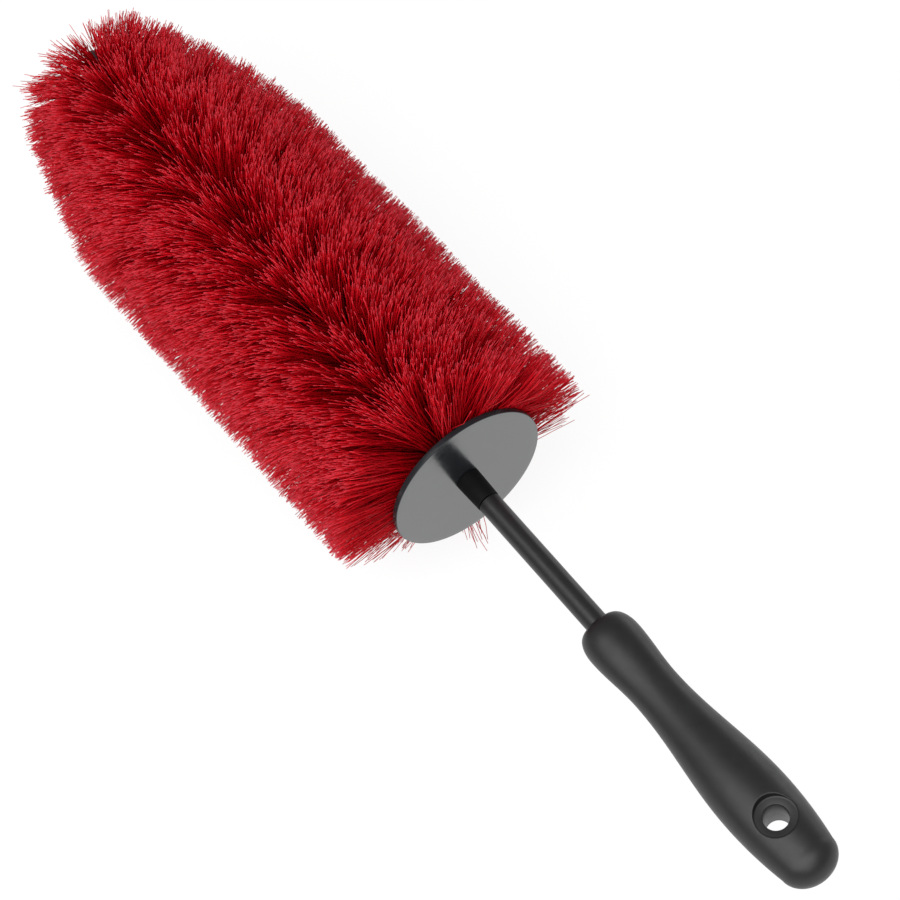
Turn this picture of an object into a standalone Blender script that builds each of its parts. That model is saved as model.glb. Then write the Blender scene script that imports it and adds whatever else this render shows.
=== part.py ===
"""Wheel brush: a twisted-wire bristle head with a splash guard, a sleeved rod and a moulded handle.

The brush lies along X, with the tip at -X and the handle at +X. The hang hole runs along Z. The origin is
below the middle of the brush, on the surface that the bristles lie on.
"""
import math
import random

import bmesh
import bpy
from mathutils import Matrix, Vector

# Driving dimensions, in metres
CLEARANCE = 0.0003            # gap between pieces that touch

GUARD_DIAMETER = 0.062
GUARD_THICKNESS = 0.0022
GUARD_EDGE_RADIUS = 0.0007

COLLAR_LENGTH = 0.012
COLLAR_BASE_DIAMETER = 0.0095
COLLAR_END_DIAMETER = 0.0088

ROD_DIAMETER = 0.0085
ROD_EXPOSED = 0.063           # rod that shows between the collar and the handle
ROD_IN_HANDLE = 0.032         # rod that sits in the handle's socket

WIRE_DIAMETER = 0.0020
WIRE_TWIST_PITCH = 0.018
FILL_THICKNESS = 0.0004       # layer of filaments pinched between the two wires
FERRULE_LENGTH = 0.014

HEAD_LENGTH = 0.244
HEAD_BASE_DIAMETER = 0.102
HEAD_STRAIGHT_LENGTH = 0.170  # head of one diameter, from the guard to where the taper starts
HEAD_TIP_DIAMETER = 0.067
HEAD_TIP_ROUNDING = 0.014     # length of head over which the blunt tip rounds off
HEAD_TIP_SHRINK = 0.25        # share of the radius that the rounding takes away
STRAND_PAIRS = 225
STRAND_WIDTH = 0.0015         # a strand's free end, across the stem
STRAND_FILL = 0.6             # depth of a free end, along the stem, over the strands' spacing
STRAND_UNEVENNESS = 0.0016    # how much shorter the shortest strand is
FLOOR_CUT = 0.0010            # depth of the flat where the strands rest on a surface

CAP_LENGTH = 0.0105
CAP_WALL = 0.0009
CAP_GRIP = 0.0065             # length of stem inside the cap

HANDLE_LENGTH = 0.117
HANDLE_FRONT_DIAMETER = 0.013
HANDLE_SHOULDER_DIAMETER = 0.0207
HANDLE_SHOULDER_AT = 0.0085   # stations measured from the handle's front end
HANDLE_WAIST_DIAMETER = 0.0178
HANDLE_WAIST_AT = 0.031
HANDLE_BELLY_DIAMETER = 0.0259
HANDLE_BELLY_THICKNESS = 0.0212
HANDLE_BELLY_AT = 0.083
HANDLE_BUTT_DIAMETER = 0.0214
HANDLE_BUTT_ROUNDING = 0.0087

HANG_HOLE_DIAMETER = 0.0088
HANG_HOLE_FROM_END = 0.0235
HANG_RECESS_DIAMETER = 0.0146
HANG_RECESS_DEPTH = 0.0026

ROUND_SEGMENTS = 32
GUARD_SEGMENTS = 64
HANDLE_SEGMENTS = 40
WIRE_POINTS_PER_TURN = 8
EDGE_STEPS = 4                # outline points on each rounded edge of the guard
DOME_STEPS = 6                # outline points on the cap's dome
END_STEPS = 6                 # outline points on each rounded end of the grip
CURVE_STEPS = 7               # outline points on each stretch of the grip between them
RANDOM_SEED = 7

# Sizes that follow
WIRE_RADIUS = WIRE_DIAMETER / 2
TWIST_RADIUS = WIRE_RADIUS + FILL_THICKNESS / 2 + CLEARANCE
STEM_RADIUS = TWIST_RADIUS + WIRE_RADIUS
STEM_BORE_RADIUS = STEM_RADIUS + CLEARANCE
FILL_EDGE_RADIUS = STEM_RADIUS + CLEARANCE
SOCKET_RADIUS = ROD_DIAMETER / 2 + CLEARANCE
STRAND_STEP = HEAD_LENGTH / STRAND_PAIRS
STRAND_DEPTH = STRAND_STEP * STRAND_FILL
HANDLE_FLATNESS = HANDLE_BELLY_THICKNESS / HANDLE_BELLY_DIAMETER

# Places along the brush, from the guard's handle-side face
COLLAR_START = CLEARANCE
ROD_START = COLLAR_START + COLLAR_LENGTH + CLEARANCE
HANDLE_START = ROD_START + ROD_EXPOSED
HANDLE_END = HANDLE_START + HANDLE_LENGTH
ROD_END = HANDLE_START + ROD_IN_HANDLE
FERRULE_START = ROD_END + CLEARANCE
FERRULE_END = FERRULE_START + FERRULE_LENGTH
SOCKET_END = FERRULE_END + CLEARANCE
HEAD_START = -GUARD_THICKNESS - CLEARANCE
HEAD_END = HEAD_START - HEAD_LENGTH
CAP_START = HEAD_END - CLEARANCE
STEM_END = CAP_START - CAP_GRIP
CAP_END = CAP_START - CAP_LENGTH

# Where the guard's face and the brush's axis lie in the part's frame
GUARD_X = -(CAP_END + HANDLE_END) / 2
AXIS_Z = HEAD_BASE_DIAMETER / 2 - FLOOR_CUT


def clear_scene():
    for old in list(bpy.data.objects):
        bpy.data.objects.remove(old, do_unlink=True)


def collection(name):
    made = bpy.data.collections.new(name)
    bpy.context.scene.collection.children.link(made)
    return made


def material(name, colour, roughness, metallic=0.0):
    made = bpy.data.materials.new(name)
    made.use_nodes = True
    shader = made.node_tree.nodes["Principled BSDF"]
    shader.inputs["Base Color"].default_value = (*colour, 1.0)
    shader.inputs["Roughness"].default_value = roughness
    shader.inputs["Metallic"].default_value = metallic
    return made


def add_object(name, mesh, start, group, finish=None):
    """Put a mesh, drawn along X from its own origin, on the brush's axis at a place along it."""
    made = bpy.data.objects.new(name, mesh)
    made.location = (GUARD_X + start, 0.0, AXIS_Z)
    group.objects.link(made)
    if finish is not None:
        mesh.materials.append(finish)
    return made


def mesh_from(name, shape, smooth_angle=math.radians(35)):
    bmesh.ops.recalc_face_normals(shape, faces=shape.faces)
    mesh = bpy.data.meshes.new(name)
    shape.to_mesh(mesh)
    shape.free()
    mesh.shade_smooth()
    mesh.set_sharp_from_angle(angle=smooth_angle)
    return mesh


def turned(outline, segments, closed):
    """Spin an outline of (along, radius) points about X; a closed outline makes a ring."""
    shape = bmesh.new()
    points = [shape.verts.new((along, 0.0, radius)) for along, radius in outline]
    edges = [shape.edges.new(pair) for pair in zip(points, points[1:])]
    if closed:
        edges.append(shape.edges.new((points[-1], points[0])))
    bmesh.ops.spin(shape, geom=points + edges, cent=(0, 0, 0), axis=(1, 0, 0),
                   angle=2 * math.pi, steps=segments, use_merge=True)
    bmesh.ops.remove_doubles(shape, verts=shape.verts, dist=1e-6)
    return shape


def arc(centre, radius, start, end, steps):
    """Points of a circular arc in (along, radius) space, angles in radians."""
    angles = [start + (end - start) * step / steps for step in range(steps + 1)]
    return [(centre[0] + radius * math.cos(a), centre[1] + radius * math.sin(a)) for a in angles]


def sleeve(length, start_radius, end_radius, bore_radius):
    outline = [(0, bore_radius), (0, start_radius), (length, end_radius), (length, bore_radius)]
    return turned(outline, ROUND_SEGMENTS, closed=True)


def guard_disc(group, finish):
    """Flat splash guard with a rounded rim."""
    rim = GUARD_DIAMETER / 2 - GUARD_EDGE_RADIUS
    under_rim = (-GUARD_THICKNESS + GUARD_EDGE_RADIUS, rim)
    near = arc(under_rim, GUARD_EDGE_RADIUS, math.pi, math.pi / 2, EDGE_STEPS)
    far = arc((-GUARD_EDGE_RADIUS, rim), GUARD_EDGE_RADIUS, math.pi / 2, 0, EDGE_STEPS)
    outline = [(-GUARD_THICKNESS, STEM_BORE_RADIUS)] + near + far + [(0, STEM_BORE_RADIUS)]
    shape = turned(outline, GUARD_SEGMENTS, closed=True)
    return add_object("guard_disc", mesh_from("guard_disc", shape), 0, group, finish)


def guard_collar(group, finish):
    """Short tapered sleeve that holds the guard against the bristles."""
    shape = sleeve(COLLAR_LENGTH, COLLAR_BASE_DIAMETER / 2, COLLAR_END_DIAMETER / 2, STEM_BORE_RADIUS)
    return add_object("guard_collar", mesh_from("guard_collar", shape), COLLAR_START, group, finish)


def shaft_tube(group, finish):
    """Plastic sleeve over the stem, from the collar into the handle's socket."""
    radius = ROD_DIAMETER / 2
    shape = sleeve(ROD_END - ROD_START, radius, radius, STEM_BORE_RADIUS)
    return add_object("shaft_tube", mesh_from("shaft_tube", shape), ROD_START, group, finish)


def stem_ferrule(group, finish):
    """Crimped sleeve on the wires' inner end, at the bottom of the socket."""
    radius = ROD_DIAMETER / 2
    shape = sleeve(FERRULE_LENGTH, radius, radius, STEM_BORE_RADIUS)
    return add_object("stem_ferrule", mesh_from("stem_ferrule", shape), FERRULE_START, group, finish)


def tip_cap(group, finish):
    """Blind cap with a domed end over the wires' cut ends, drawn from its open end towards -X."""
    outer = STEM_BORE_RADIUS + CAP_WALL
    bore_depth = CAP_GRIP + CLEARANCE
    dome = CAP_LENGTH - bore_depth
    outline = [(-bore_depth, 0), (-bore_depth, STEM_BORE_RADIUS), (0, STEM_BORE_RADIUS), (0, outer)]
    for step in range(DOME_STEPS + 1):
        angle = math.pi / 2 * step / DOME_STEPS
        outline.append((-bore_depth - dome * math.sin(angle), outer * math.cos(angle)))
    outline[-1] = (-CAP_LENGTH, 0)
    shape = turned(outline, ROUND_SEGMENTS, closed=False)
    return add_object("tip_cap", mesh_from("tip_cap", shape), CAP_START, group, finish)


def fill_angle(along):
    """Angle, about X, of the twisted layer of filaments.

    Its first two strands stand evenly on either side of straight down, so that the brush rests on both.
    """
    between_strands = HEAD_START - STRAND_STEP
    return math.pi / 2 + 2 * math.pi * (along - between_strands) / WIRE_TWIST_PITCH


def stem_wire(name, side, group, finish):
    """One of the two wires: a helix from the tip cap to the far end of the ferrule."""
    start = STEM_END + WIRE_RADIUS
    length = FERRULE_END - WIRE_RADIUS - start
    count = math.ceil(length / WIRE_TWIST_PITCH * WIRE_POINTS_PER_TURN)
    curve = bpy.data.curves.new(name, "CURVE")
    curve.dimensions = "3D"
    curve.bevel_depth = WIRE_RADIUS
    curve.bevel_resolution = 1
    curve.use_fill_caps = True
    spline = curve.splines.new("POLY")
    spline.points.add(count)
    for index, point in enumerate(spline.points):
        along = length * index / count
        angle = fill_angle(start + along) + side * math.pi / 2
        point.co = (along, TWIST_RADIUS * math.cos(angle), TWIST_RADIUS * math.sin(angle), 1.0)
    return add_object(name, curve, start, group, finish)


def head_radius(share):
    """Radius of the head from its base (0) to its tip (1): straight, then a taper with a rounded end."""
    taper_length = HEAD_LENGTH - HEAD_STRAIGHT_LENGTH
    into_taper = max(0.0, share * HEAD_LENGTH - HEAD_STRAIGHT_LENGTH) / taper_length
    taper = HEAD_BASE_DIAMETER + (HEAD_TIP_DIAMETER - HEAD_BASE_DIAMETER) * into_taper
    from_end = (1 - share) * HEAD_LENGTH
    into_tip = max(0.0, 1 - from_end / HEAD_TIP_ROUNDING)
    return taper / 2 * (1 - HEAD_TIP_SHRINK * (1 - math.sqrt(1 - into_tip ** 2)))


def twisted_layer():
    """The filaments' middles between the wires: a thin strip, screwed along X from the head's base."""
    shape = bmesh.new()
    bmesh.ops.create_grid(shape, x_segments=2, y_segments=1, size=1.0)
    turn = Matrix.Rotation(fill_angle(HEAD_START), 3, "X")
    for vert in shape.verts:
        vert.co = turn @ Vector((0.0, vert.co.x * FILL_EDGE_RADIUS, vert.co.y * FILL_THICKNESS / 2))
    bmesh.ops.spin(shape, geom=shape.verts[:] + shape.edges[:] + shape.faces[:],
                   cent=(0, 0, 0), axis=(1, 0, 0), dvec=(-STRAND_STEP, 0, 0),
                   angle=-2 * math.pi * HEAD_LENGTH / WIRE_TWIST_PITCH, steps=STRAND_PAIRS)
    return shape


def draw_out_strand(face, radius):
    """Move an edge face of the layer out to a radius, as a strand's small free end."""
    along = Vector((1.0, 0.0, 0.0))
    centre = face.calc_center_median()
    outward = Vector((0.0, centre.y, centre.z)).normalized()
    across = along.cross(outward)
    end = Vector((centre.x, 0.0, 0.0)) + outward * radius
    for ahead in (True, False):
        pair = [vert for vert in face.verts if (vert.co.x > centre.x) == ahead]
        pair.sort(key=lambda vert: vert.co.dot(across))
        shift = along * (STRAND_DEPTH / 2 if ahead else -STRAND_DEPTH / 2)
        for vert, side in zip(pair, (-1, 1)):
            vert.co = end + shift + across * (side * STRAND_WIDTH / 2)


def cut_flat_below(shape, floor):
    """Trim the strand ends that reach below the surface the brush lies on."""
    everything = shape.verts[:] + shape.edges[:] + shape.faces[:]
    cut = bmesh.ops.bisect_plane(shape, geom=everything, plane_co=(0, 0, floor), plane_no=(0, 0, -1),
                                 clear_outer=True)
    rims = [item for item in cut["geom_cut"] if isinstance(item, bmesh.types.BMEdge)]
    bmesh.ops.holes_fill(shape, edges=rims)


def bristles(group, finish):
    """Filaments pinched between the wires: a twisted layer with a row of strands on each edge."""
    shape = twisted_layer()
    between = (FILL_EDGE_RADIUS / 2 + FILL_EDGE_RADIUS) / 2
    edge_faces = [face for face in shape.faces if face.calc_center_median().yz.length > between]
    strands = bmesh.ops.extrude_discrete_faces(shape, faces=edge_faces)["faces"]
    rng = random.Random(RANDOM_SEED)
    shortness = [rng.random() * STRAND_UNEVENNESS for _ in range(STRAND_PAIRS)]
    shortness[:2] = [0.0, 0.0]
    for face in strands:
        share = -face.calc_center_median().x / HEAD_LENGTH
        pair = min(STRAND_PAIRS - 1, int(share * STRAND_PAIRS))
        draw_out_strand(face, head_radius(share) - shortness[pair])
    cut_flat_below(shape, -AXIS_Z)
    return add_object("bristles", mesh_from("bristles", shape), HEAD_START, group, finish)


def eased(start, end, share):
    return start + (end - start) * (1 - math.cos(math.pi * share)) / 2


def grip_radius(place):
    """Half width of the grip at a place behind its front end."""
    butt_at = HANDLE_LENGTH - HANDLE_BUTT_ROUNDING
    if place < HANDLE_SHOULDER_AT:
        rise = math.sqrt(1 - (1 - place / HANDLE_SHOULDER_AT) ** 2)
        width = HANDLE_FRONT_DIAMETER + (HANDLE_SHOULDER_DIAMETER - HANDLE_FRONT_DIAMETER) * rise
    elif place < HANDLE_WAIST_AT:
        share = (place - HANDLE_SHOULDER_AT) / (HANDLE_WAIST_AT - HANDLE_SHOULDER_AT)
        width = eased(HANDLE_SHOULDER_DIAMETER, HANDLE_WAIST_DIAMETER, share)
    elif place < HANDLE_BELLY_AT:
        share = (place - HANDLE_WAIST_AT) / (HANDLE_BELLY_AT - HANDLE_WAIST_AT)
        width = eased(HANDLE_WAIST_DIAMETER, HANDLE_BELLY_DIAMETER, share)
    elif place < butt_at:
        share = (place - HANDLE_BELLY_AT) / (butt_at - HANDLE_BELLY_AT)
        width = HANDLE_BELLY_DIAMETER - (HANDLE_BELLY_DIAMETER - HANDLE_BUTT_DIAMETER) * share ** 2
    else:
        share = min(1.0, (place - butt_at) / HANDLE_BUTT_ROUNDING)
        width = HANDLE_BUTT_DIAMETER * math.sqrt(1 - share ** 2)
    return width / 2


def grip_places():
    """Places along the grip for its outline: even through the curves, closer at both rounded ends."""
    butt_at = HANDLE_LENGTH - HANDLE_BUTT_ROUNDING
    quarter = [math.pi / 2 * step / END_STEPS for step in range(END_STEPS)]
    places = [HANDLE_SHOULDER_AT * (1 - math.cos(angle)) for angle in quarter]
    stretches = ((HANDLE_SHOULDER_AT, HANDLE_WAIST_AT), (HANDLE_WAIST_AT, HANDLE_BELLY_AT),
                 (HANDLE_BELLY_AT, butt_at))
    for start, end in stretches:
        places += [start + (end - start) * step / CURVE_STEPS for step in range(CURVE_STEPS)]
    places += [butt_at + HANDLE_BUTT_ROUNDING * math.sin(angle) for angle in quarter]
    return places


def cylinder_cutter(name, radius, depth, place, along_x, cutters):
    """A round cutter centred at a place (along the brush, up from its axis)."""
    shape = bmesh.new()
    bmesh.ops.create_cone(shape, cap_ends=True, segments=ROUND_SEGMENTS,
                          radius1=radius, radius2=radius, depth=depth)
    if along_x:
        bmesh.ops.rotate(shape, verts=shape.verts, matrix=Matrix.Rotation(math.pi / 2, 3, "Y"))
    made = add_object(name, mesh_from(name, shape), place[0], cutters)
    made.location.z += place[1]
    made.hide_render = True
    made.display_type = "WIRE"
    return made


def handle(group, cutters, finish):
    """Moulded grip: a turned outline flattened to an oval, with a socket and a recessed hang hole."""
    outline = [(0, 0)] + [(place, grip_radius(place)) for place in grip_places()] + [(HANDLE_LENGTH, 0)]
    shape = turned(outline, HANDLE_SEGMENTS, closed=False)
    bmesh.ops.scale(shape, vec=(1, 1, HANDLE_FLATNESS), verts=shape.verts)
    made = add_object("handle", mesh_from("handle", shape), HANDLE_START, group, finish)

    past_front = ROD_DIAMETER
    socket_length = SOCKET_END - HANDLE_START + past_front
    socket_place = (SOCKET_END - socket_length / 2, 0.0)
    hole_at = HANDLE_LENGTH - HANG_HOLE_FROM_END
    half_thickness = grip_radius(hole_at) * HANDLE_FLATNESS
    through = 4 * half_thickness
    tools = [
        cylinder_cutter("socket_cutter", SOCKET_RADIUS, socket_length, socket_place, True, cutters),
        cylinder_cutter("hang_hole_cutter", HANG_HOLE_DIAMETER / 2, through,
                        (HANDLE_START + hole_at, 0.0), False, cutters),
    ]
    for name, up in (("upper_recess_cutter", 1), ("lower_recess_cutter", -1)):
        tools.append(cylinder_cutter(name, HANG_RECESS_DIAMETER / 2, HANG_RECESS_DEPTH * 2,
                                     (HANDLE_START + hole_at, up * half_thickness), False, cutters))
    for tool in tools:
        cut = made.modifiers.new(tool.name, "BOOLEAN")
        cut.operation = "DIFFERENCE"
        cut.solver = "EXACT"
        cut.object = tool
    return made


def main():
    clear_scene()
    group = collection("wheel_brush")
    cutters = collection("cutters")
    root = bpy.data.objects.new("wheel_brush_frame", None)
    group.objects.link(root)

    grip_plastic = material("grip_plastic", (0.022, 0.022, 0.024), 0.45)
    rod_plastic = material("rod_plastic", (0.030, 0.030, 0.032), 0.40)
    collar_rubber = material("collar_rubber", (0.006, 0.006, 0.007), 0.60)
    guard_plastic = material("guard_plastic", (0.030, 0.030, 0.032), 0.30)
    cap_plastic = material("cap_plastic", (0.015, 0.015, 0.016), 0.50)
    filament = material("red_filament", (0.50, 0.010, 0.022), 0.35)
    wire_steel = material("wire_steel", (0.55, 0.55, 0.56), 0.30, metallic=1.0)

    parts = [
        handle(group, cutters, grip_plastic),
        shaft_tube(group, rod_plastic),
        guard_collar(group, collar_rubber),
        guard_disc(group, guard_plastic),
        stem_wire("stem_wire_a", 1, group, wire_steel),
        stem_wire("stem_wire_b", -1, group, wire_steel),
        stem_ferrule(group, wire_steel),
        bristles(group, filament),
        tip_cap(group, cap_plastic),
    ]
    for part in parts:
        part.parent = root


main()
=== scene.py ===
"""Looks of the wheel brush: fine shells of the moulded pieces, a dense head of filaments, studio, camera."""
import math

import bmesh
import bpy
import numpy as np
from mathutils import Matrix, Vector


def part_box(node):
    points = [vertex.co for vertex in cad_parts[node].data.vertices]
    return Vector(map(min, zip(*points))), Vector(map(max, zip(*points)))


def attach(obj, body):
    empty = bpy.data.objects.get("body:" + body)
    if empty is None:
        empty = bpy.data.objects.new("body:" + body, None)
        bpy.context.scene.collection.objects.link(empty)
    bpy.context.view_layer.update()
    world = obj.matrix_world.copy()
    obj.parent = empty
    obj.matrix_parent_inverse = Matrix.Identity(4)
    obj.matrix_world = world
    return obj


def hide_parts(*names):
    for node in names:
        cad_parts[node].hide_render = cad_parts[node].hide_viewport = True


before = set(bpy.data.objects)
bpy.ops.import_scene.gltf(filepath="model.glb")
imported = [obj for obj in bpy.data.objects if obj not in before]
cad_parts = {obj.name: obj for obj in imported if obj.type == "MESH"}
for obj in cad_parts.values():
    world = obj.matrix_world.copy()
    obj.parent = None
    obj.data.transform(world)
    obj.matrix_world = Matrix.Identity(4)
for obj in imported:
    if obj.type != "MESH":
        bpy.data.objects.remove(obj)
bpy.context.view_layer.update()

# Places from the frame, in metres
GUARD_LOW, GUARD_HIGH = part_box("guard_disc")
COLLAR_LOW, COLLAR_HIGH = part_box("guard_collar")
ROD_LOW, ROD_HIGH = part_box("shaft_tube")
HANDLE_LOW, HANDLE_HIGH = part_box("handle")
HEAD_LOW, HEAD_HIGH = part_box("bristles")
CAP_LOW, CAP_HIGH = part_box("tip_cap")
AXIS_Z = (GUARD_LOW.z + GUARD_HIGH.z) / 2
GUARD_X = GUARD_HIGH.x
AXIS = Vector((0.0, 0.0, AXIS_Z))

# Grip: stations of its outline behind the front end, hang hole, socket, and steps along the outline
HANDLE_LENGTH = HANDLE_HIGH.x - HANDLE_LOW.x
FLATNESS = (HANDLE_HIGH.z - HANDLE_LOW.z) / (HANDLE_HIGH.y - HANDLE_LOW.y)
FRONT_WIDTH = 0.013
SHOULDER_WIDTH = 0.0207
SHOULDER_AT = 0.0085
WAIST_WIDTH = 0.0178
WAIST_AT = 0.031
BELLY_WIDTH = HANDLE_HIGH.y - HANDLE_LOW.y
BELLY_AT = 0.083
BUTT_WIDTH = 0.0214
BUTT_ROUNDING = 0.0087
HOLE_FROM_END = 0.0235
HOLE_RADIUS = 0.0044
HOLE_EDGE = 0.0004
RECESS_RADIUS = 0.0073
RECESS_DEPTH = 0.0026
RECESS_RIM_FILLET = 0.0006
RECESS_FLOOR_FILLET = 0.0007
RECESS_LEAST_REACH = 0.15
CUTTER_ABOVE = 0.004
CUTTER_FLARE = 0.0009
SOCKET_DEPTH = 0.020
SOCKET_CLEARANCE = 0.0003
MOUTH_ROUNDING = ((0.0005, 0.0), (0.0001, 0.0002), (0.0, 0.0006))
MOUTH_REACH = 0.0007
FRONT_STEPS = 14
MIDDLE_STEPS = 120
BUTT_STEPS = 20
GRIP_SMOOTH_ANGLE = math.radians(30)

# Round shells
ROUND_SEGMENTS = 96
GRIP_SEGMENTS = 144
GUARD_SEGMENTS = 192
GUARD_RINGS = 12
GUARD_RIM_FILLET = 0.0003
COLLAR_END_RADIUS = 0.0044
COLLAR_FILLET = 0.0003
ROD_FILLET = 0.0003
ROD_RINGS = 24
ROD_END_GAP = 0.001
CAP_FILLET = 0.0003
CAP_BORE_DEPTH = 0.0068
DOME_STEPS = 16
BORE_RADIUS = 0.0028

# Filaments
SEED = 11
CLUMP_ROWS = 64
CLUMPS_PER_ROW = 28
STRANDS_PER_CLUMP = 18
STRAND_RINGS = 6
STRAND_SIDES = 3
STRAND_RADIUS = 0.00019
STRAND_TIP_SHARE = 0.7
ROOT_RADIUS = 0.0022
HEAD_ZONES = 7
HEAD_BASE_RADIUS = 0.0535
HEAD_STRAIGHT_SHARE = 0.69
HEAD_TIP_RADIUS = 0.0345
HEAD_TIP_ROUNDING = 0.09
HEAD_TIP_SHRINK = 0.5
HEAD_LOPSIDED = 0.0045
HEAD_ASIDE = 0.0009
GUARD_CLEARANCE = 0.0015
RIM_OVERHANG = 1.1
TONE_COLUMNS = 64
COLUMN_EDGES = (0.1, 0.9)
END_MAP_DEPTH = 0.02
FLOOR_GAP = 0.0004

# How filaments stray: angles in radians, lengths in metres, the rest as shares
CLUMP_LEAN = 0.0034
CLUMP_TWIST = 0.06
CLUMP_SHORTNESS = 0.04
STRAND_SPREAD = 0.006
STRAND_ROOT_TURN = 0.12
STRAND_TWIST = 0.060
STRAND_LEAN = 0.0022
STRAND_SHORTNESS = 0.05
STRAND_WAVE = 0.0004
STRAND_TURN_POWER = 0.8
STRAND_LEAN_POWER = 1.4
SHARE_LIMITS = (0.002, 0.998)
TONE_SPREAD = 0.24
TONE_LIMIT = 0.999
STRAY_SHARE = 0.06
STRAY_FACTOR = 2.2

# How tips are combed: a parting along the top, and shifts along X at the two ends of the head
PARTING_ANGLE = math.radians(100)
PARTING_PUSH = 0.19
PARTING_WIDTH = 0.16
PARTING_REACH = 0.9
GUARD_END_SHARE = 0.13
TIP_END_SHARE = 0.16
COMB_RIGHT = 0.007
COMB_LEFT = -0.002
COMB_ABOVE = -0.005
COMB_BELOW = -0.017
COMB_BELOW_STEEPNESS = 1.6
COMB_TUFT = 0.008
COMB_TIP = -0.002
TUFT_ANGLE = -1.60
TUFT_WIDTH = 0.11

# Camera: where it stands about the guard, in degrees and metres, and the guard's place in a 900 pixel frame
FRAME_PIXELS = 900
FOCAL_PIXELS = 2600
SENSOR = 36.0
VIEW_AZIMUTH = 71.7
VIEW_ELEVATION = 59.9
VIEW_ROLL = -20.9
VIEW_DISTANCE = 0.918
GUARD_PIXEL = (468.0, 478.7)
CAMERA_REACH = 20.0

# Studio
SKY_STRENGTH = 0.36
FLOOR_GLOW = 1.04
FLOOR_GLOW_SHARE = 0.85
FLOOR_TONE = 0.92
FLOOR_ROUGHNESS = 0.9
FLOOR_HALF_SIZE = 6.0
FLOOR_DROP = 0.0005
KEY_PLACE, KEY_SIZE, KEY_POWER = (0.35, -0.45, 1.15), (2.2, 1.5), 24.0
FILL_PLACE, FILL_SIZE, FILL_POWER = (-0.4, 1.5, 0.25), (1.0, 0.5), 2.5


def link(obj):
    bpy.context.scene.collection.objects.link(obj)
    return obj


def mesh_object(name, shape, finish, smooth_angle=math.radians(40)):
    """An object from a bmesh, shaded smooth up to an angle."""
    bmesh.ops.recalc_face_normals(shape, faces=shape.faces)
    mesh = bpy.data.meshes.new(name)
    shape.to_mesh(mesh)
    shape.free()
    mesh.shade_smooth()
    mesh.set_sharp_from_angle(angle=smooth_angle)
    mesh.materials.append(finish)
    return link(bpy.data.objects.new(name, mesh))


def turned(outline, segments, closed):
    """Spin (x, radius) points about the brush's axis; a closed outline makes a ring."""
    shape = bmesh.new()
    points = [shape.verts.new((x, 0.0, radius)) for x, radius in outline]
    edges = [shape.edges.new(pair) for pair in zip(points, points[1:])]
    if closed:
        edges.append(shape.edges.new((points[-1], points[0])))
    bmesh.ops.spin(shape, geom=points + edges, cent=(0, 0, 0), axis=(1, 0, 0),
                   angle=2 * math.pi, steps=segments, use_merge=True)
    bmesh.ops.remove_doubles(shape, verts=shape.verts, dist=1e-7)
    return shape


def arc(x, radius, size, start, end, steps=6):
    """Points of a fillet in (x, radius), angles in degrees from +x."""
    angles = np.radians(np.linspace(start, end, steps + 1))
    return [(x + size * math.cos(a), radius + size * math.sin(a)) for a in angles]


# Materials

def new_material(name):
    made = bpy.data.materials.new(name)
    made.use_nodes = True
    tree = made.node_tree
    return made, tree, tree.nodes["Principled BSDF"]


def add_node(tree, kind, **values):
    node = tree.nodes.new(kind)
    for key, value in values.items():
        setattr(node, key, value)
    return node


def noise(tree, where, scale, detail=4.0, roughness=0.6):
    node = add_node(tree, "ShaderNodeTexNoise")
    node.inputs["Scale"].default_value = scale
    node.inputs["Detail"].default_value = detail
    node.inputs["Roughness"].default_value = roughness
    tree.links.new(where, node.inputs["Vector"])
    return node.outputs["Fac"]


def spread(tree, value, low, high, from_low=0.3, from_high=0.7):
    """Map a value onto a range; the default limits suit a noise."""
    node = add_node(tree, "ShaderNodeMapRange")
    node.inputs["From Min"].default_value = from_low
    node.inputs["From Max"].default_value = from_high
    node.inputs["To Min"].default_value = low
    node.inputs["To Max"].default_value = high
    tree.links.new(value, node.inputs["Value"])
    return node.outputs["Result"]


def ramp(tree, value, stops):
    node = add_node(tree, "ShaderNodeValToRGB")
    elements = node.color_ramp.elements
    while len(elements) < len(stops):
        elements.new(0.5)
    for element, (place, colour) in zip(elements, stops):
        element.position = place
        element.color = (*colour, 1.0)
    tree.links.new(value, node.inputs["Fac"])
    return node.outputs["Color"]


def bump(tree, height, strength, distance):
    node = add_node(tree, "ShaderNodeBump")
    node.inputs["Strength"].default_value = strength
    node.inputs["Distance"].default_value = distance
    tree.links.new(height, node.inputs["Height"])
    return node.outputs["Normal"]


def object_place(tree):
    return add_node(tree, "ShaderNodeTexCoord").outputs["Object"]


def moulded_plastic(name, dark, light, rough, grain, ior=1.5):
    """Dark plastic: cloudy tone, uneven gloss and a fine moulded grain; grain is (scale, depth)."""
    made, tree, shader = new_material(name)
    where = object_place(tree)
    cloud = noise(tree, where, scale=60.0)
    tree.links.new(ramp(tree, cloud, ((0.3, dark), (0.7, light))), shader.inputs["Base Color"])
    tree.links.new(spread(tree, noise(tree, where, scale=220.0), *rough), shader.inputs["Roughness"])
    scale, depth = grain
    normal = bump(tree, noise(tree, where, scale, detail=2.0), strength=0.25, distance=depth)
    tree.links.new(normal, shader.inputs["Normal"])
    shader.inputs["IOR"].default_value = ior
    return made


def dull_edge(made, radius, width):
    """Take the shine off the rim of a disc about the brush's axis."""
    tree = made.node_tree
    shader = tree.nodes["Principled BSDF"]
    across = add_node(tree, "ShaderNodeVectorMath", operation="MULTIPLY")
    across.inputs[1].default_value = (0.0, 1.0, 1.0)
    tree.links.new(object_place(tree), across.inputs[0])
    out = add_node(tree, "ShaderNodeVectorMath", operation="LENGTH")
    tree.links.new(across.outputs["Vector"], out.inputs[0])
    shine = spread(tree, out.outputs["Value"], low=0.5, high=0.05,
                   from_low=radius - width, from_high=radius - width / 2)
    tree.links.new(shine, shader.inputs["Specular IOR Level"])


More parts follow.
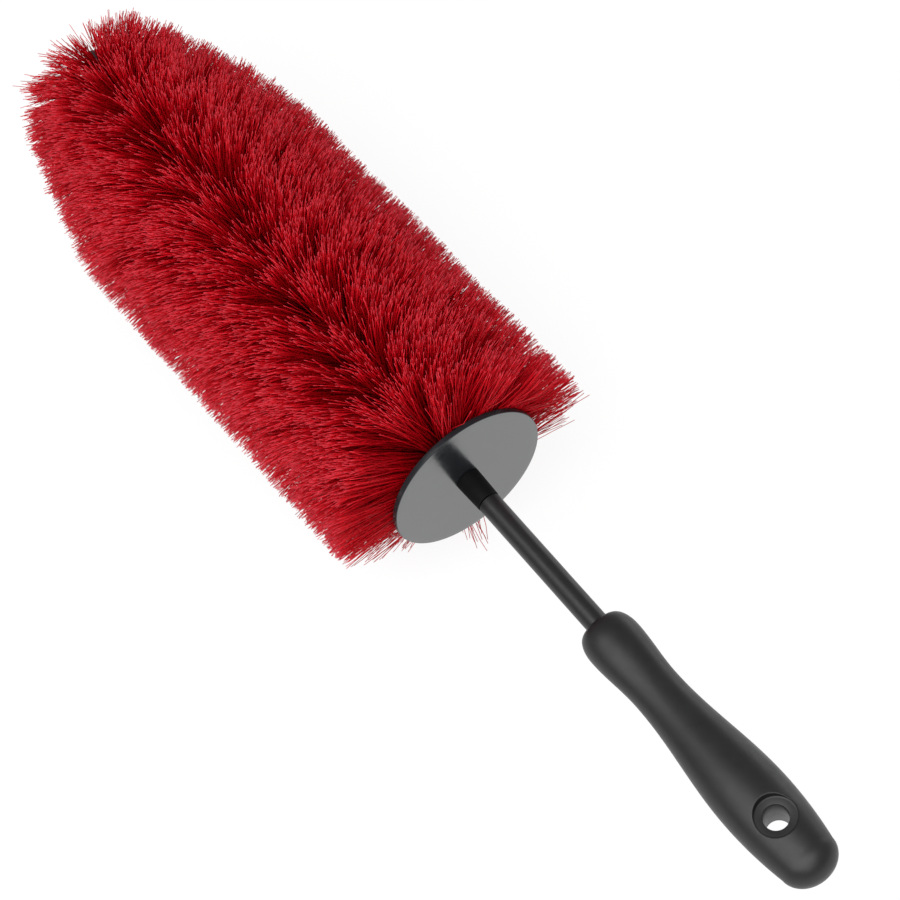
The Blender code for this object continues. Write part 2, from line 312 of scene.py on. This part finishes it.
def steel(name):
    made, tree, shader = new_material(name)
    where = object_place(tree)
    tone = noise(tree, where, scale=400.0)
    tree.links.new(ramp(tree, tone, ((0.3, (0.40, 0.40, 0.41)), (0.7, (0.62, 0.62, 0.63)))),
                   shader.inputs["Base Color"])
    tree.links.new(spread(tree, tone, low=0.28, high=0.45), shader.inputs["Roughness"])
    normal = bump(tree, noise(tree, where, scale=1800.0), strength=0.2, distance=0.00002)
    tree.links.new(normal, shader.inputs["Normal"])
    shader.inputs["Metallic"].default_value = 1.0
    return made


def filament(name):
    """Glossy red filament: the map's u picks a strand's tone, and v runs from its root to its tip.

    The strands at the top of the tones are painted pale pink as painted highlights, the red has painted
    shade towards each root and painted light at each tip, and gloss and surface vary along every strand.
    """
    made, tree, shader = new_material(name)
    place = add_node(tree, "ShaderNodeUVMap", uv_map="OFBake")
    parts = add_node(tree, "ShaderNodeSeparateXYZ")
    tree.links.new(place.outputs["UV"], parts.inputs["Vector"])
    # Along each strand the red is painted darker towards the root, as painted shade where the strands crowd
    # about the stem, and paler pink at the very tip, as painted light shining through the tips
    along = ramp(tree, parts.outputs["Y"], (
        (0.0, (0.15, 0.001, 0.008)), (0.5, (0.55, 0.001, 0.007)),
        (0.955, (0.66, 0.004, 0.013)), (0.985, (0.74, 0.040, 0.062))))
    tone = ramp(tree, parts.outputs["X"], (
        (0.0, (0.52, 0.48, 0.50)), (0.35, (0.84, 0.84, 0.84)), (0.8, (1.0, 1.0, 1.0)),
        (1.0, (1.0, 1.0, 1.0))))
    mixed = add_node(tree, "ShaderNodeMix", data_type="RGBA", blend_type="MULTIPLY")
    mixed.inputs["Factor"].default_value = 1.0
    tree.links.new(along, mixed.inputs["A"])
    tree.links.new(tone, mixed.inputs["B"])
    # Painted highlight: the strands at the top of the tones are painted pale pink, standing in for the shine
    # along single strands
    painted_highlight = add_node(tree, "ShaderNodeMix", data_type="RGBA")
    painted_highlight.inputs["B"].default_value = (0.90, 0.05, 0.07, 1.0)
    highlight_share = spread(tree, parts.outputs["X"], low=0.0, high=0.3, from_low=0.84, from_high=1.0)
    tree.links.new(highlight_share, painted_highlight.inputs["Factor"])
    tree.links.new(mixed.outputs["Result"], painted_highlight.inputs["A"])
    tree.links.new(painted_highlight.outputs["Result"], shader.inputs["Base Color"])
    streaks = noise(tree, place.outputs["UV"], scale=70.0)
    tree.links.new(spread(tree, streaks, low=0.30, high=0.46), shader.inputs["Roughness"])
    tree.links.new(bump(tree, streaks, strength=0.15, distance=0.00002), shader.inputs["Normal"])
    shader.inputs["IOR"].default_value = 1.48
    shader.inputs["Specular IOR Level"].default_value = 0.14
    return made


# Shells of the moulded pieces

def eased(start, end, share):
    return start + (end - start) * (1 - math.cos(math.pi * share)) / 2


def grip_radius(place):
    """Half width of the grip at a place behind its front end."""
    butt_at = HANDLE_LENGTH - BUTT_ROUNDING
    if place < SHOULDER_AT:
        width = FRONT_WIDTH + (SHOULDER_WIDTH - FRONT_WIDTH) * math.sqrt(1 - (1 - place / SHOULDER_AT) ** 2)
    elif place < WAIST_AT:
        width = eased(SHOULDER_WIDTH, WAIST_WIDTH, (place - SHOULDER_AT) / (WAIST_AT - SHOULDER_AT))
    elif place < BELLY_AT:
        width = eased(WAIST_WIDTH, BELLY_WIDTH, (place - WAIST_AT) / (BELLY_AT - WAIST_AT))
    elif place < butt_at:
        share = (place - BELLY_AT) / (butt_at - BELLY_AT)
        width = BELLY_WIDTH - (BELLY_WIDTH - BUTT_WIDTH) * share ** 2
    else:
        share = min(1.0, (place - butt_at) / BUTT_ROUNDING)
        width = BUTT_WIDTH * math.sqrt(1 - share ** 2)
    return width / 2


def grip_height(x, y):
    """Height of the grip's upper surface above the axis."""
    half_width = grip_radius(x - HANDLE_LOW.x)
    inside = max(0.0, 1 - (y / half_width) ** 2)
    return half_width * FLATNESS * math.sqrt(inside)


def hang_hole_cutter(hole_x):
    """A through hole with a flat-floored recess at each end, whose rim follows the grip's surface."""
    crown = grip_height(hole_x, 0.0)
    floor = crown - RECESS_DEPTH
    corner = RECESS_RADIUS - RECESS_FLOOR_FILLET
    half = [(0.0, HOLE_RADIUS), (floor - HOLE_EDGE, HOLE_RADIUS),
            (floor - HOLE_EDGE / 4, HOLE_RADIUS + HOLE_EDGE / 4), (floor, HOLE_RADIUS + HOLE_EDGE)]
    half += arc(floor + RECESS_FLOOR_FILLET, corner, RECESS_FLOOR_FILLET, 180, 90)
    half += arc(crown - RECESS_RIM_FILLET, RECESS_RADIUS + RECESS_RIM_FILLET, RECESS_RIM_FILLET, -90, -8)
    half += [(crown + CUTTER_ABOVE, RECESS_RADIUS + RECESS_RIM_FILLET + CUTTER_FLARE)]
    outline = [(half[-1][0], 0.0)] + half[::-1] + [(-up, radius) for up, radius in half[1:]]
    outline += [(-half[-1][0], 0.0)]
    shape = turned(outline, ROUND_SEGMENTS, closed=False)
    bmesh.ops.rotate(shape, verts=shape.verts, cent=(0, 0, 0), matrix=Matrix.Rotation(-math.pi / 2, 3, "Y"))
    for vert in shape.verts:
        up = abs(vert.co.z)
        if up > floor:
            reach = (grip_height(hole_x + vert.co.x, vert.co.y) - floor) / RECESS_DEPTH
            vert.co.z = math.copysign(floor + (up - floor) * max(RECESS_LEAST_REACH, reach), vert.co.z)
    bmesh.ops.translate(shape, verts=shape.verts, vec=(hole_x, 0.0, 0.0))
    return shape


def boolean_cut(piece, tool):
    cut = piece.modifiers.new("cut", "BOOLEAN")
    cut.operation = "DIFFERENCE"
    cut.solver = "EXACT"
    cut.object = tool


def apply_modifiers(piece):
    bpy.context.view_layer.update()
    done = bpy.data.meshes.new_from_object(piece.evaluated_get(bpy.context.evaluated_depsgraph_get()))
    piece.modifiers.clear()
    piece.data = done


def make_grip(finish):
    """The grip as a turned outline, pressed flat, with its socket and hang hole."""
    quarter = math.pi / 2
    front = [SHOULDER_AT * (1 - math.cos(a)) for a in np.linspace(0, quarter, FRONT_STEPS)]
    middle = np.linspace(SHOULDER_AT, HANDLE_LENGTH - BUTT_ROUNDING, MIDDLE_STEPS)[1:-1]
    butt = [HANDLE_LENGTH - BUTT_ROUNDING * (1 - math.sin(a)) for a in np.linspace(0, quarter, BUTT_STEPS)]
    places = front + list(middle) + butt[:-1]
    mouth = ROD_HIGH.z - AXIS_Z + SOCKET_CLEARANCE
    start = HANDLE_LOW.x
    outline = [(start + SOCKET_DEPTH, 0.0), (start + SOCKET_DEPTH, mouth)]
    outline += [(start + along, mouth + out) for along, out in MOUTH_ROUNDING]
    outline += [(start + place, grip_radius(place)) for place in places]
    outline += [(HANDLE_HIGH.x, 0.0)]
    shape = turned(outline, GRIP_SEGMENTS, closed=False)
    for vert in shape.verts:
        inside_socket = vert.co.x < start + SOCKET_DEPTH + 1e-6 and vert.co.yz.length < mouth + MOUTH_REACH
        if not inside_socket:
            vert.co.z *= FLATNESS
    piece = mesh_object("grip_shell", shape, finish, GRIP_SMOOTH_ANGLE)
    tool = mesh_object("hole_tool", hang_hole_cutter(HANDLE_HIGH.x - HOLE_FROM_END), finish)
    boolean_cut(piece, tool)
    apply_modifiers(piece)
    bpy.data.objects.remove(tool)
    piece.data.shade_smooth()
    piece.data.set_sharp_from_angle(angle=GRIP_SMOOTH_ANGLE)
    piece.location = AXIS
    return piece


def make_rod(finish):
    radius = ROD_HIGH.z - AXIS_Z
    end = HANDLE_LOW.x + SOCKET_DEPTH - ROD_END_GAP
    outline = [(ROD_LOW.x, BORE_RADIUS)]
    outline += arc(ROD_LOW.x + ROD_FILLET, radius - ROD_FILLET, ROD_FILLET, 180, 90)
    steps = np.linspace(ROD_LOW.x + ROD_FILLET, end, ROD_RINGS)[1:]
    outline += [(x, radius) for x in steps] + [(end, BORE_RADIUS)]
    piece = mesh_object("rod_shell", turned(outline, ROUND_SEGMENTS, closed=True), finish)
    piece.location = AXIS
    return piece


def make_collar(finish):
    low, high = COLLAR_LOW.x, COLLAR_HIGH.x
    base = COLLAR_HIGH.z - AXIS_Z
    end = COLLAR_END_RADIUS
    outline = [(low, BORE_RADIUS), (low, base)]
    outline += [(low + (high - COLLAR_FILLET - low) * s, base + (end - base) * s) for s in (0.25, 0.5, 0.75)]
    outline += arc(high - COLLAR_FILLET, end - COLLAR_FILLET, COLLAR_FILLET, 90, 0) + [(high, BORE_RADIUS)]
    piece = mesh_object("collar_shell", turned(outline, ROUND_SEGMENTS, closed=True), finish)
    piece.location = AXIS
    return piece


def make_guard(finish):
    radius = GUARD_HIGH.y
    low, high, fillet = GUARD_LOW.x, GUARD_HIGH.x, GUARD_RIM_FILLET
    rings = np.linspace(BORE_RADIUS, radius - fillet, GUARD_RINGS)[:-1]
    outline = [(low, r) for r in rings]
    outline += arc(low + fillet, radius - fillet, fillet, 180, 90)
    outline += arc(high - fillet, radius - fillet, fillet, 90, 0)
    outline += [(high, r) for r in rings[::-1]]
    piece = mesh_object("guard_shell", turned(outline, GUARD_SEGMENTS, closed=True), finish)
    piece.location = AXIS
    return piece


def make_cap(finish):
    radius = CAP_HIGH.y
    bore_end = CAP_HIGH.x - CAP_BORE_DEPTH
    dome = bore_end - CAP_LOW.x
    outline = [(bore_end, 0.0), (bore_end, BORE_RADIUS), (CAP_HIGH.x, BORE_RADIUS)]
    outline += arc(CAP_HIGH.x - CAP_FILLET, radius - CAP_FILLET, CAP_FILLET, 0, 90)
    angles = np.linspace(0, math.pi / 2, DOME_STEPS)
    outline += [(bore_end - dome * math.sin(a), radius * math.cos(a)) for a in angles[:-1]]
    outline += [(CAP_LOW.x, 0.0)]
    piece = mesh_object("cap_shell", turned(outline, ROUND_SEGMENTS, closed=False), finish)
    piece.location = AXIS
    return piece


# Filaments

def head_radius(share):
    """Length of the filaments from the stem's axis, from the guard (0) to the tip (1)."""
    into_taper = np.clip((share - HEAD_STRAIGHT_SHARE) / (1 - HEAD_STRAIGHT_SHARE), 0, 1)
    into_tip = np.clip(1 - (1 - share) / HEAD_TIP_ROUNDING, 0, 1)
    rounded = 1 - HEAD_TIP_SHRINK * (1 - np.sqrt(1 - into_tip ** 2))
    return (HEAD_BASE_RADIUS + (HEAD_TIP_RADIUS - HEAD_BASE_RADIUS) * into_taper) * rounded


def turn_from(start, angle):
    """Angle from a start, between minus and plus half a turn."""
    return np.mod(angle - start + math.pi, 2 * math.pi) - math.pi


def combed_shift(share, angle):
    """How far tips are combed along X: forward at the tip, and unevenly about the guard."""
    at_guard = np.clip(1 - share / GUARD_END_SHARE, 0, 1)
    at_tip = np.clip(1 - (1 - share) / TIP_END_SHARE, 0, 1) ** 2
    aside = np.cos(angle)
    tuft = np.exp(-(turn_from(TUFT_ANGLE, angle) / TUFT_WIDTH) ** 2)
    below = np.clip(-COMB_BELOW_STEEPNESS * np.sin(angle), 0, 1) * (1 - tuft)
    above = np.clip(np.sin(angle), 0, 1)
    flare = (COMB_RIGHT * np.clip(aside, 0, 1) * (1 - below) + COMB_LEFT * np.clip(-aside, 0, 1)
             + COMB_ABOVE * above + COMB_BELOW * below + COMB_TUFT * tuft)
    return flare * at_guard + COMB_TIP * at_tip


def parted(angle):
    """Comb tips away from a line along the top of the head."""
    from_line = turn_from(PARTING_ANGLE, angle)
    fading = np.exp(-(from_line / PARTING_REACH) ** 2)
    return angle + PARTING_PUSH * np.tanh(from_line / PARTING_WIDTH) * fading


def strand_paths(rng):
    """Centre lines of all filaments, as (strand, ring, xyz), with each strand's place along the head."""
    per_clump = STRANDS_PER_CLUMP
    rows, columns = np.meshgrid(np.arange(CLUMP_ROWS), np.arange(CLUMPS_PER_ROW), indexing="ij")
    clumps = rows.size
    clump_share = (rows.ravel() + rng.random(clumps)) / CLUMP_ROWS
    staggered = columns.ravel() + 0.5 * (rows.ravel() % 2)
    clump_angle = 2 * math.pi * (staggered + rng.random(clumps)) / CLUMPS_PER_ROW
    clump_lean = rng.normal(0.0, CLUMP_LEAN, clumps)
    clump_twist = rng.normal(0.0, CLUMP_TWIST, clumps)
    clump_length = 1.0 - CLUMP_SHORTNESS * rng.random(clumps) ** 2

    def each(values):
        return np.repeat(values, per_clump)

    count = clumps * per_clump
    wide = np.where(rng.random(count) < STRAY_SHARE, STRAY_FACTOR, 1.0)
    share = np.clip(each(clump_share) + rng.normal(0, STRAND_SPREAD, count), *SHARE_LIMITS)
    root_angle = each(clump_angle) + rng.normal(0, STRAND_ROOT_TURN, count)
    tip_angle = each(parted(clump_angle) + clump_twist) + rng.normal(0, STRAND_TWIST, count) * wide
    radius = head_radius(share) * each(clump_length) * (1 - STRAND_SHORTNESS * rng.random(count) ** 2)
    tip_shift = each(clump_lean) + rng.normal(0, STRAND_LEAN, count) * wide + combed_shift(share, tip_angle)

    root_x = HEAD_HIGH.x - share * (HEAD_HIGH.x - HEAD_LOW.x)
    grow = np.linspace(0, 1, STRAND_RINGS)[None, :]
    out = ROOT_RADIUS + (radius[:, None] - ROOT_RADIUS) * grow
    wave = rng.normal(0, STRAND_WAVE, (count, 1)) * np.sin((grow + rng.random((count, 1))) * math.pi * 2)
    theta = root_angle[:, None] + (tip_angle - root_angle)[:, None] * grow ** STRAND_TURN_POWER
    past_rim = np.maximum(0.0, out - GUARD_HIGH.y - GUARD_CLEARANCE)
    x = root_x[:, None] + tip_shift[:, None] * grow ** STRAND_LEAN_POWER + wave
    x = np.minimum(x, HEAD_HIGH.x + RIM_OVERHANG * past_rim)
    y = out * np.cos(theta) - (HEAD_ASIDE + HEAD_LOPSIDED * share[:, None]) * grow
    z = np.maximum(out * np.sin(theta), FLOOR_GAP - AXIS_Z)
    return np.stack([x, y, z], axis=2), share


def strand_mesh(name, paths, tones, turns, finish):
    """Closed tubes along the paths, with a map whose columns are tones and whose v runs along the strand."""
    count, rings, _ = paths.shape
    tangent = np.gradient(paths, axis=1)
    tangent /= np.linalg.norm(tangent, axis=2, keepdims=True)
    across = np.cross(tangent, np.array([1.0, 0.0, 0.0]))
    across /= np.linalg.norm(across, axis=2, keepdims=True)
    other = np.cross(tangent, across)
    thick = STRAND_RADIUS * np.linspace(1.0, STRAND_TIP_SHARE, rings)[None, :, None, None]
    turn = turns[:, None] + 2 * math.pi * np.arange(STRAND_SIDES)[None, :] / STRAND_SIDES
    ring = (np.cos(turn)[:, None, :, None] * across[:, :, None, :]
            + np.sin(turn)[:, None, :, None] * other[:, :, None, :])
    verts = (paths[:, :, None, :] + ring * thick).reshape(-1, 3)

    base = (np.arange(count) * rings * STRAND_SIDES)[:, None, None]
    level = (np.arange(rings - 1) * STRAND_SIDES)[None, :, None]
    side = np.arange(STRAND_SIDES)[None, None, :]
    after = (side + 1) % STRAND_SIDES
    quads = np.stack([base + level + side, base + level + after,
                      base + level + STRAND_SIDES + after, base + level + STRAND_SIDES + side], axis=3)
    root = (base[:, 0] + np.arange(STRAND_SIDES)[::-1])[:, None, :]
    tip = (base[:, 0] + (rings - 1) * STRAND_SIDES + np.arange(STRAND_SIDES))[:, None, :]
    quads = quads.reshape(count, -1)
    loops = np.concatenate([quads, root[:, 0], tip[:, 0]], axis=1)
    quad_count = (rings - 1) * STRAND_SIDES
    sizes = np.tile(np.array([4] * quad_count + [STRAND_SIDES] * 2), count)
    starts = np.concatenate([[0], np.cumsum(sizes)[:-1]])

    mesh = bpy.data.meshes.new(name)
    mesh.vertices.add(len(verts))
    mesh.vertices.foreach_set("co", verts.astype(np.float32).ravel())
    mesh.loops.add(loops.size)
    mesh.loops.foreach_set("vertex_index", loops.astype(np.int32).ravel())
    mesh.polygons.add(len(sizes))
    mesh.polygons.foreach_set("loop_start", starts.astype(np.int32))
    mesh.update(calc_edges=True)

    v_low = np.repeat(np.arange(rings - 1) / (rings - 1), STRAND_SIDES)
    v_step = 1 / (rings - 1)
    v = np.stack([v_low, v_low, v_low + v_step, v_low + v_step], axis=1).ravel()
    left, right = COLUMN_EDGES
    u = np.tile(np.array([left, right, right, left]), quad_count)
    caps_u = np.array([left, right, 0.5] * 2)
    caps_v = np.array([0.0, 0.0, END_MAP_DEPTH, 1.0, 1.0, 1.0 - END_MAP_DEPTH])
    u = (np.concatenate([u, caps_u])[None, :] + tones[:, None]) / TONE_COLUMNS
    v = np.broadcast_to(np.concatenate([v, caps_v])[None, :], u.shape)
    layer = mesh.uv_layers.new(name="OFBake")
    layer.data.foreach_set("uv", np.stack([u, v], axis=2).astype(np.float32).ravel())
    mesh.shade_smooth()
    mesh.materials.append(finish)
    mesh.validate()
    return link(bpy.data.objects.new(name, mesh))


def make_bristles(finish):
    """The filaments in a few pieces, each a stretch of the head."""
    rng = np.random.default_rng(SEED)
    paths, share = strand_paths(rng)
    tones = np.clip(rng.normal(0.5, TONE_SPREAD, len(share)), 0, TONE_LIMIT) * TONE_COLUMNS
    tones = np.floor(tones)
    turns = rng.random(len(share)) * 2 * math.pi
    zone = np.minimum(HEAD_ZONES - 1, (share * HEAD_ZONES).astype(int))
    pieces = []
    for index in range(HEAD_ZONES):
        chosen = zone == index
        piece = strand_mesh(f"bristle_zone_{index + 1}", paths[chosen], tones[chosen], turns[chosen], finish)
        piece.location = AXIS
        pieces.append(piece)
    return pieces


# Studio

def make_floor():
    made, tree, shader = new_material("floor_white")
    shader.inputs["Base Color"].default_value = (FLOOR_TONE, FLOOR_TONE, FLOOR_TONE, 1.0)
    shader.inputs["Roughness"].default_value = FLOOR_ROUGHNESS
    glow = add_node(tree, "ShaderNodeEmission")
    glow.inputs["Strength"].default_value = FLOOR_GLOW
    path = add_node(tree, "ShaderNodeLightPath")
    first = add_node(tree, "ShaderNodeMath", operation="MAXIMUM")
    seen = add_node(tree, "ShaderNodeMath", operation="MAXIMUM")
    tree.links.new(path.outputs["Is Camera Ray"], first.inputs[0])
    tree.links.new(path.outputs["Is Glossy Ray"], first.inputs[1])
    tree.links.new(first.outputs["Value"], seen.inputs[0])
    tree.links.new(path.outputs["Is Transmission Ray"], seen.inputs[1])
    share = add_node(tree, "ShaderNodeMath", operation="MULTIPLY")
    share.inputs[1].default_value = FLOOR_GLOW_SHARE
    tree.links.new(seen.outputs["Value"], share.inputs[0])
    mixed = add_node(tree, "ShaderNodeMixShader")
    tree.links.new(share.outputs["Value"], mixed.inputs["Fac"])
    tree.links.new(shader.outputs["BSDF"], mixed.inputs[1])
    tree.links.new(glow.outputs["Emission"], mixed.inputs[2])
    tree.links.new(mixed.outputs["Shader"], tree.nodes["Material Output"].inputs["Surface"])
    shape = bmesh.new()
    bmesh.ops.create_grid(shape, x_segments=8, y_segments=8, size=FLOOR_HALF_SIZE)
    floor = mesh_object("floor", shape, made)
    floor.location.z = -FLOOR_DROP


def area_light(name, place, target, size, power):
    data = bpy.data.lights.new(name, "AREA")
    data.shape = "RECTANGLE"
    data.size, data.size_y = size
    data.energy = power
    lamp = link(bpy.data.objects.new(name, data))
    lamp.location = place
    lamp.rotation_euler = (Vector(target) - Vector(place)).to_track_quat("-Z", "Y").to_euler()


def make_studio():
    world = bpy.data.worlds.new("studio")
    bpy.context.scene.world = world
    world.use_nodes = True
    sky = world.node_tree.nodes["Background"]
    sky.inputs["Color"].default_value = (1.0, 1.0, 1.0, 1.0)
    path = add_node(world.node_tree, "ShaderNodeLightPath")
    strength = add_node(world.node_tree, "ShaderNodeMapRange")
    strength.inputs["To Min"].default_value = SKY_STRENGTH
    strength.inputs["To Max"].default_value = 1.0
    world.node_tree.links.new(path.outputs["Is Camera Ray"], strength.inputs["Value"])
    world.node_tree.links.new(strength.outputs["Result"], sky.inputs["Strength"])
    middle = (0.0, 0.0, AXIS_Z)
    area_light("key", KEY_PLACE, middle, KEY_SIZE, KEY_POWER)
    area_light("fill", FILL_PLACE, middle, FILL_SIZE, FILL_POWER)


def make_camera():
    azimuth, elevation, roll = (math.radians(a) for a in (VIEW_AZIMUTH, VIEW_ELEVATION, VIEW_ROLL))
    toward = Vector((math.sin(azimuth) * math.cos(elevation), -math.cos(azimuth) * math.cos(elevation),
                     math.sin(elevation)))
    level = Vector((math.cos(azimuth), math.sin(azimuth), 0.0))
    right = math.cos(roll) * level + math.sin(roll) * toward.cross(level)
    up = toward.cross(right)
    metres_per_pixel = VIEW_DISTANCE / FOCAL_PIXELS
    aside = (GUARD_PIXEL[0] - FRAME_PIXELS / 2) * metres_per_pixel
    below = (GUARD_PIXEL[1] - FRAME_PIXELS / 2) * metres_per_pixel
    data = bpy.data.cameras.new("camera")
    data.sensor_width = SENSOR
    data.lens = FOCAL_PIXELS / FRAME_PIXELS * SENSOR
    data.clip_end = CAMERA_REACH
    camera = link(bpy.data.objects.new("camera", data))
    guard = Vector((GUARD_X, 0.0, AXIS_Z))
    camera.location = guard + toward * VIEW_DISTANCE - right * aside + up * below
    camera.rotation_euler = Matrix((right, up, toward)).transposed().to_euler()
    bpy.context.scene.camera = camera


def dress():
    grip = moulded_plastic("grip_plastic", dark=(0.006, 0.006, 0.007), light=(0.010, 0.010, 0.011),
                           rough=(0.36, 0.46), grain=(2600.0, 0.00005))
    rod = moulded_plastic("rod_plastic", dark=(0.006, 0.006, 0.007), light=(0.009, 0.009, 0.010),
                          rough=(0.32, 0.42), grain=(1500.0, 0.000004))
    collar = moulded_plastic("collar_rubber", dark=(0.001, 0.001, 0.001), light=(0.002, 0.002, 0.002),
                             rough=(0.6, 0.75), grain=(3000.0, 0.00004), ior=1.25)
    guard = moulded_plastic("guard_plastic", dark=(0.011, 0.013, 0.015), light=(0.015, 0.017, 0.020),
                            rough=(0.16, 0.24), grain=(900.0, 0.00002), ior=2.4)
    dull_edge(guard, GUARD_HIGH.y, GUARD_RIM_FILLET)
    cap = moulded_plastic("cap_plastic", dark=(0.010, 0.010, 0.011), light=(0.018, 0.018, 0.019),
                          rough=(0.45, 0.6), grain=(2600.0, 0.00004))
    wire = steel("wire_steel")
    red = filament("red_filament")
    shells = (
        (make_grip(grip), "handle", "grip"),
        (make_rod(rod), "shaft_tube", "rod"),
        (make_collar(collar), "guard_collar", "collar"),
        (make_guard(guard), "guard_disc", "guard"),
        (make_cap(cap), "tip_cap", "cap"),
    )
    for piece, node, slot in shells:
        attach(piece, "root")
        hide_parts(node)
    for piece in make_bristles(red):
        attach(piece, "root")
        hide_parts("bristles")
    for node in ("stem_wire_a", "stem_wire_b", "stem_ferrule"):
        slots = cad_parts[node].data.materials
        slots.clear()
        slots.append(wire)


bpy.context.scene.view_settings.view_transform = "Standard"
make_camera()
dress()
make_floor()
make_studio()
